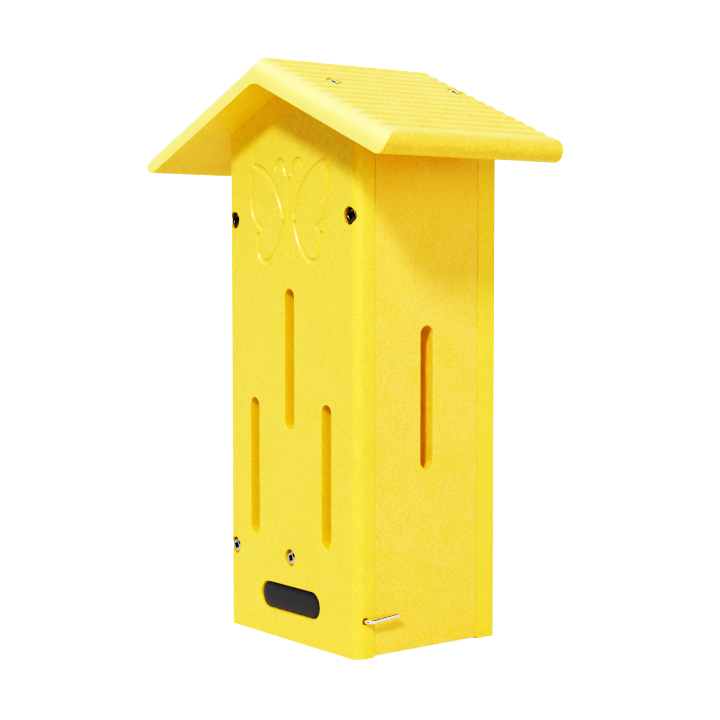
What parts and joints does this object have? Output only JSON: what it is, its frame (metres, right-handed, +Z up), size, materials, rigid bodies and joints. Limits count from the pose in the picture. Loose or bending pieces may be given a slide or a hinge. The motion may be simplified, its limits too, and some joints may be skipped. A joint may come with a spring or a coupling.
{
  "type": "butterfly house",
  "caption": "Gabled butterfly house with tall entry slots, a reeded roof, a raised floor and a swinging clean-out door held by a turning wire latch.",
  "frame": {"origin": "on the ground, below the middle of the roof's width and depth", "axes": "+X to the door's side, +Y from the front panel to the back, +Z up to the ridge"},
  "size_m": [0.2274, 0.1214, 0.3216],
  "materials": {
    "yellow_board": "satin plastic lumber",
    "roof_board": "reeded satin plastic lumber",
    "badge": "gloss dome",
    "latch_wire": "bright zinc",
    "black_screw": "black oxide",
    "zinc_screw": "zinc plate"
  },
  "bodies": {
    "house": {"front_panel": "yellow_board", "back_panel": "yellow_board", "left_side": "yellow_board", "floor_board": "yellow_board", "roof_board_left": "roof_board", "roof_board_right": "roof_board", "badge": "badge", "pivot_screw_front": "black_screw", "pivot_screw_back": "black_screw", "side_screw_front_upper": "black_screw", "side_screw_back_upper": "black_screw", "side_screw_front_lower": "zinc_screw", "side_screw_back_lower": "zinc_screw", "floor_screw_front": "zinc_screw", "floor_screw_back": "zinc_screw", "roof_screw_left_front": "zinc_screw", "roof_screw_left_back": "zinc_screw", "roof_screw_right_front": "zinc_screw", "roof_screw_right_back": "zinc_screw"},
    "door": {"clean_out_door": "yellow_board"},
    "latch": {"latch_hook": "latch_wire"}
  },
  "joints": [
    {"name": "door_swing", "type": "hinge", "parent": "house", "child": "door", "pos_m": [0.05415, 0.01135, 0.235], "axis": [0, -1, 0], "range_deg": [0, 105]},
    {"name": "latch_turn", "type": "hinge", "parent": "door", "child": "latch", "pos_m": [0.0605, -0.03095, 0.0203], "axis": [1, 0, 0], "range_deg": [-90, 90]}
  ]
}
